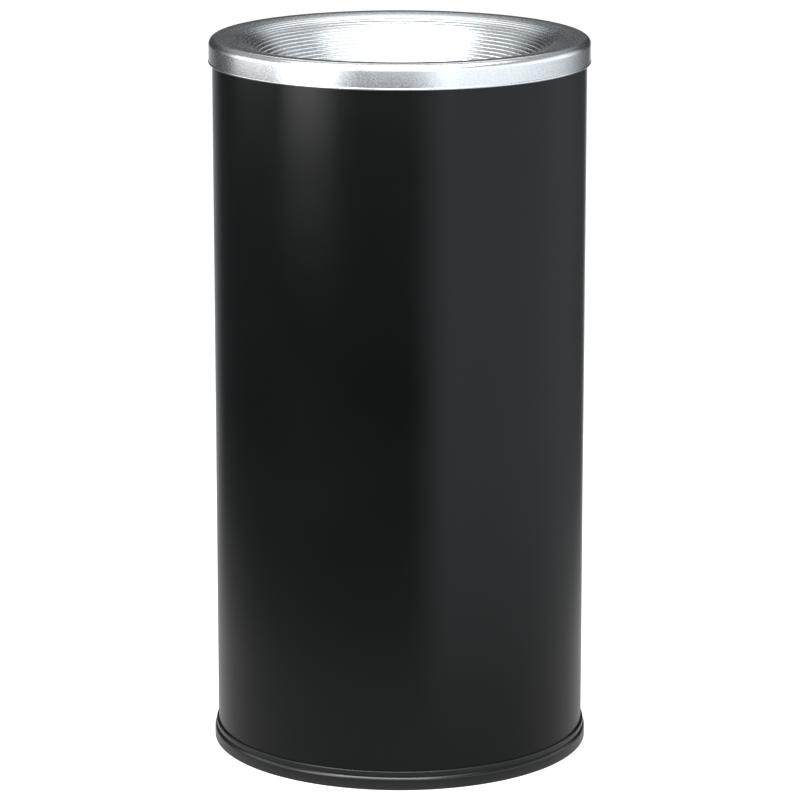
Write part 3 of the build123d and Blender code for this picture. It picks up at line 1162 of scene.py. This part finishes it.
softboxes = {
    # name: place, aimed at, width and height in metres, then brightness
    # footStrip gives the foot ring its line of light, and the near banks light the metal skirt
    "overhead": ((0.0, -0.7, 1.95), (0.0, -0.7, 0.0), 2.5, 2.0, 1.7),
    "footStrip": ((-0.25, -1.1, 1.9), (0.0, -0.1, 0.1), 2.0, 0.35, 10.0),
    "backHigh": ((0.0, 1.5, 1.85), (0.0, 0.0, 0.5), 1.1, 0.8, 1.2),
    "frontFill": ((0.0, -2.4, 1.6), (0.0, 0.0, 0.45), 2.6, 0.8, 0.9),
    "frontBank": ((0.1, -1.0, 0.62), (0.1, 0.0, 0.62), 1.0, 0.5, 0.7),
    "leftBank": ((-0.83, -0.63, 0.63), (0.0, 0.0, 0.63), 0.66, 0.54, 1.5),
    "leftStep": ((-0.52, -0.9, 0.63), (0.0, 0.0, 0.63), 0.2, 0.54, 1.0),
    "sideBank": ((-1.04, 0.06, 0.63), (0.0, 0.0, 0.63), 0.7, 0.54, 1.3),
    "leftCore": ((-0.874, -0.615, 0.83), (0.0, 0.0, 0.68), 0.34, 1.0, 2.4),
    "leftSoft": ((-0.874, -0.615, 0.84), (0.0, 0.0, 0.69), 0.70, 1.12, 1.6),
}
surround = {
    "tint": "#e9eef2",
    # places round the room: 0 and 1 are the left, 0.25 the front, 0.5 the right, 0.75 the back
    "low": [(0.0, 0.05), (0.2, 0.03), (0.275, 0.03), (0.33, 1.35), (0.46, 1.15), (0.55, 0.78),
            (0.61, 0.4), (0.65, 0.2), (0.7, 0.1), (0.735, 2.4), (0.76, 1.8), (0.79, 0.6),
            (0.85, 0.08), (1.0, 0.05)],
    "high": [(0.0, 0.9), (0.1, 0.9), (0.2, 0.5), (0.27, 0.5), (0.34, 1.75), (0.57, 1.75), (0.64, 0.03),
             (0.86, 0.03), (0.92, 0.4), (1.0, 0.9)],
    # the next three are sines of the angle above level
    "lowEnd": (-0.14, -0.04),  # where the low walls give way to the high ones
    "panelTop": 0.42,      # where the walls end
    "panelFade": 0.08,     # to each side of it
    "ceiling": 0.48,
    "strength": 3.0,       # of the whole background; the greys are divided by it
}


def makeSoftbox(name, place, target, width, height, brightness):
    data = bpy.data.lights.new(name, "AREA")
    data.shape = "RECTANGLE"
    data.size = width
    data.size_y = height
    data.energy = brightness * math.pi * width * height
    light = bpy.data.objects.new(name, data)
    light.location = place
    light.rotation_euler = (Vector(target) - Vector(place)).to_track_quat("-Z", "Y").to_euler()
    light.visible_camera = False
    bpy.context.collection.objects.link(light)


def makeRoom():
    # the walls round the set: a white panel on the right, dark in front, dim behind
    world = bpy.data.worlds.new("studio")
    world.use_nodes = True
    world.cycles.sampling_method = "NONE"
    tree = world.node_tree
    way = addNode(tree, "TexCoord").outputs["Generated"]
    apart = addNode(tree, "SeparateXYZ", links={"Vector": way})
    around = addNode(tree, "TexGradient", {"gradient_type": "RADIAL"}, links={"Vector": way})
    low = addNode(tree, "ValToRGB", links={"Fac": around.outputs["Fac"]},
                  stops=greyStops(surround["low"], surround["strength"]))
    high = addNode(tree, "ValToRGB", links={"Fac": around.outputs["Fac"]},
                   stops=greyStops(surround["high"], surround["strength"]))
    aboveLow = addNode(tree, "MapRange", inputs={
        "From Min": surround["lowEnd"][0], "From Max": surround["lowEnd"][1]},
        links={"Value": apart.outputs["Z"]})
    abovePanel = addNode(tree, "MapRange", inputs={
        "From Min": surround["panelTop"] - surround["panelFade"],
        "From Max": surround["panelTop"] + surround["panelFade"]},
        links={"Value": apart.outputs["Z"]})
    ceiling = surround["ceiling"] / surround["strength"]
    walls = addNode(tree, "Mix", {"data_type": "RGBA"}, links={
        0: aboveLow.outputs["Result"], 6: low.outputs["Color"], 7: high.outputs["Color"]})
    room = addNode(tree, "Mix", {"data_type": "RGBA"}, {7: (ceiling, ceiling, ceiling, 1)}, {
        0: abovePanel.outputs["Result"], 6: walls.outputs[2]})
    tinted = addNode(tree, "Mix", {"data_type": "RGBA", "blend_type": "MULTIPLY"},
                     {0: 1.0, 7: linear(surround["tint"])}, {6: room.outputs[2]})
    background = tree.nodes["Background"]
    background.inputs["Strength"].default_value = surround["strength"]
    tree.links.new(tinted.outputs[2], background.inputs["Color"])
    bpy.context.scene.world = world


floor = {
    "tones": [(0.3, "#a6a6a4"), (0.7, "#adadab")],
    "grainScale": 60.0,    # per metre
    "roughness": 0.9,
    "gloss": 0.1,
    "glow": 0.88,          # a lit table, so that its far end stays as pale as the near one
    "size": 40.0,
    "sheenRadius": 1.2,
    "sheenDrop": 0.0005,   # just below the floor
    "sheenSteps": 64,
    "sheenBrightness": 0.55,
    # distance from the middle as a share of sheenRadius, and how much of the sheen is seen there
    "sheen": [(0.18, 1.0), (0.27, 0.95), (0.42, 0.5), (0.65, 0.14), (1.0, 0.0)],
}


def makeFloor():
    selectNone()
    bpy.ops.mesh.primitive_plane_add(size=floor["size"], location=(0, 0, 0))
    paper = nameIt(bpy.context.object, "studioFloor")
    material, tree, shader, place = newMaterial("lit opal table")
    grain = addNode(tree, "TexNoise", inputs={
        "Scale": floor["grainScale"], "Detail": 3.0}, links={"Vector": place})
    colour = addNode(tree, "ValToRGB", links={"Fac": grain.outputs["Fac"]},
        stops=toneStops(floor["tones"]))
    plugIn(tree, shader, {"Base Color": colour})
    shader.inputs["Roughness"].default_value = floor["roughness"]
    shader.inputs["Specular IOR Level"].default_value = floor["gloss"]
    shader.inputs["Emission Color"].default_value = (1, 1, 1, 1)
    shader.inputs["Emission Strength"].default_value = floor["glow"]
    material.cycles.emission_sampling = "NONE"
    paper.data.materials.append(material)
    paper.visible_glossy = False


def makeFloorSheen():
    # what the black cylinder mirrors of the table: pale close by, dark further out
    selectNone()
    bpy.ops.mesh.primitive_circle_add(vertices=floor["sheenSteps"], radius=floor["sheenRadius"],
                                      fill_type="NGON", location=(0, 0, -floor["sheenDrop"]))
    sheen = nameIt(bpy.context.object, "floorSheen")
    material, tree, shader, place = newMaterial("table seen in the gloss")
    reach = addNode(tree, "VectorMath", {"operation": "LENGTH"}, links={0: place})
    share = addNode(tree, "Math", {"operation": "DIVIDE"}, {1: floor["sheenRadius"]},
                    {0: reach.outputs["Value"]})
    seen = addNode(tree, "ValToRGB", links={"Fac": share.outputs["Value"]},
                   stops=greyStops(floor["sheen"]))
    lit = addNode(tree, "Emission", inputs={"Strength": floor["sheenBrightness"]})
    clear = addNode(tree, "BsdfTransparent")
    both = addNode(tree, "MixShader", links={
        0: seen.outputs["Color"], 1: clear.outputs["BSDF"], 2: lit.outputs["Emission"]})
    tree.links.new(both.outputs["Shader"], tree.nodes["Material Output"].inputs["Surface"])
    tree.nodes.remove(shader)
    material.cycles.emission_sampling = "NONE"
    sheen.data.materials.append(material)
    sheen.visible_camera = False
    sheen.visible_diffuse = False
    sheen.visible_shadow = False
    sheen.visible_transmission = False


say("floor, lights and camera")
makeCamera()
makeRoom()
makeFloor()
makeFloorSheen()
for name, values in softboxes.items():
    makeSoftbox(name, *values)
bpy.context.scene.view_settings.view_transform = "Standard"
